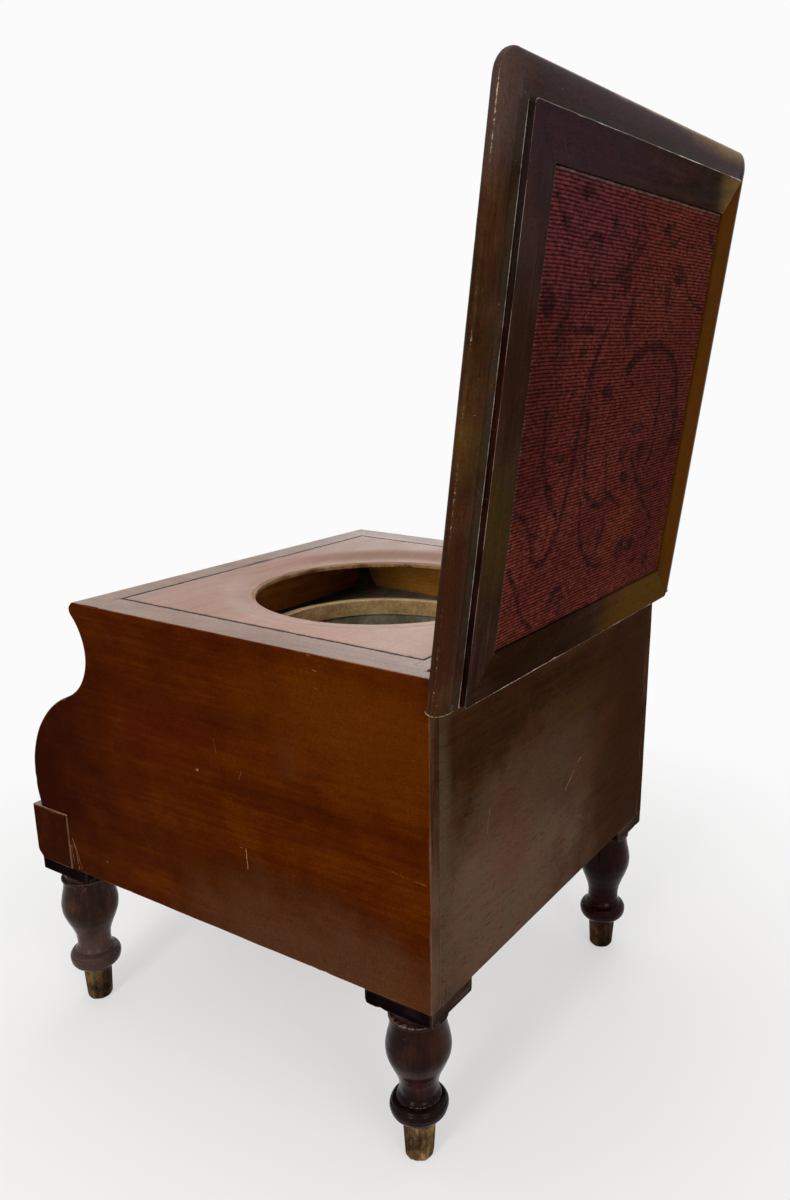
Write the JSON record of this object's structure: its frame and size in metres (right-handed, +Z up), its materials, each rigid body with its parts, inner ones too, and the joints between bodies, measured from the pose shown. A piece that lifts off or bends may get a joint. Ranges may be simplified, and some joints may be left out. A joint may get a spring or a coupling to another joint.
{
  "type": "bedside commode",
  "caption": "Antique mahogany bedside commode: ogee-fronted box on turned legs, loose dished seat over a pot shelf, and a hinged lid topped with carpet.",
  "frame": {"origin": "middle of the footprint on the floor, with the lid open", "axes": "+Z up, the ogee front faces -Y, the lid's hinges run along X at the back"},
  "size_m": [0.462, 0.5736, 0.8776],
  "materials": {
    "mahogany": "satin, worn french polish",
    "dark_mahogany": "satin, darkened polish",
    "seat_wood": "satin, worn polish",
    "inner_wood": "matte, bare",
    "pale_hoop_wood": "matte, bare",
    "brass": "tarnished",
    "iron_screws": "oxidised",
    "carpet": "matte, ribbed flat-woven pile"
  },
  "bodies": {
    "case": {"side_left": "mahogany", "side_right": "mahogany", "back_panel": "dark_mahogany", "front_panel": "mahogany", "front_top_rail": "mahogany", "plinth": "mahogany", "side_rail_left": "mahogany", "side_rail_right": "mahogany", "hinge_rail": "mahogany", "bottom_board": "inner_wood", "seat_board": "seat_wood", "seat_bearer_left": "inner_wood", "seat_bearer_right": "inner_wood", "seat_bearer_front": "inner_wood", "seat_bearer_back": "inner_wood", "pot_shelf": "dark_mahogany", "pot_hoop": "pale_hoop_wood", "shelf_bearer_left": "inner_wood", "shelf_bearer_right": "inner_wood", "shelf_bearer_back": "inner_wood", "corner_block_left": "dark_mahogany", "corner_block_right": "dark_mahogany", "glue_blocks": "inner_wood", "leg_block_rear_left": "dark_mahogany", "leg_block_rear_right": "dark_mahogany", "leg_block_front_left": "dark_mahogany", "leg_block_front_right": "dark_mahogany", "leg_rear_left": "dark_mahogany", "leg_rear_right": "dark_mahogany", "leg_front_left": "dark_mahogany", "leg_front_right": "dark_mahogany", "block_screws": "iron_screws", "hinge_leaf_left": "brass", "hinge_leaf_right": "brass", "hinge_pin_left": "brass", "hinge_pin_right": "brass", "case_hinge_screws": "iron_screws"},
    "lid": {"lid_leaf_left": "brass", "lid_leaf_right": "brass", "lid_hinge_screws": "iron_screws", "lid_board": "dark_mahogany", "lid_frame_left": "dark_mahogany", "lid_frame_right": "dark_mahogany", "lid_frame_front": "dark_mahogany", "lid_frame_back": "dark_mahogany", "lid_carpet": "carpet"}
  },
  "joints": [
    {"name": "lid_hinge", "type": "hinge", "parent": "case", "child": "lid", "pos_m": [0, 0.21942, 0.46715], "axis": [1, 0, 0], "range_deg": [0, 97]}
  ]
}
